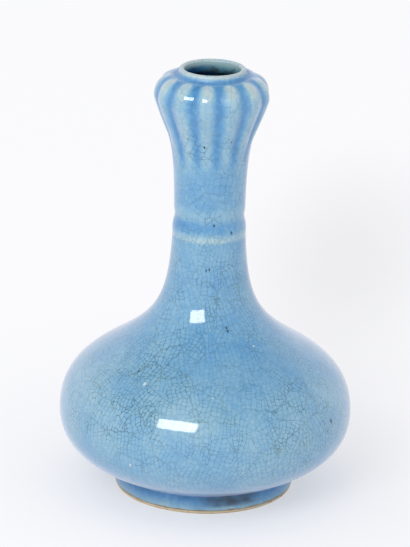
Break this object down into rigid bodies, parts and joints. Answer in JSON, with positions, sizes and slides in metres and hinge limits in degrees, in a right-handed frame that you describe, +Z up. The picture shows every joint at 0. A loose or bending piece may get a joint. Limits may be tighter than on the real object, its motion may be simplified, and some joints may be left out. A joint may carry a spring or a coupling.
{
  "type": "vase",
  "caption": "Glazed stoneware bottle vase with a low round belly, a tall flared neck with a raised ring, and a lobed mouth shaped like a garlic head",
  "frame": {"origin": "middle of the foot ring's flat underside, on the table", "axes": "+Z is up, along the vase's own axis; one lobe of the garlic head faces -Y, towards the front"},
  "size_m": [0.2024, 0.2024, 0.3],
  "materials": {
    "bare_stoneware": "fired bare, buff to orange-brown, dry and matt",
    "stoneware": "fired clay body under the glaze, matt",
    "slip": "fired liquid clay that joins the sections, matt",
    "blue_glaze": "thick pale blue glaze, glossy, with a net of fine dark cracks",
    "inside_glaze": "the same glaze inside, glossy, stained brown with age",
    "base_glaze": "thin pale blue glaze under the base, glossy"
  },
  "bodies": {
    "root": {"foot_ring": "bare_stoneware", "lower_bowl": "stoneware", "shoulder_dome": "stoneware", "lower_neck": "stoneware", "upper_neck": "stoneware", "neck_ring": "stoneware", "garlic_head": "stoneware", "foot_slip": "slip", "belly_slip": "slip", "shoulder_slip": "slip", "neck_slip": "slip", "ring_slip": "slip", "head_slip": "slip", "body_glaze": "blue_glaze", "head_glaze": "blue_glaze", "inner_glaze": "inside_glaze", "base_glaze": "base_glaze"}
  },
  "joints": []
}
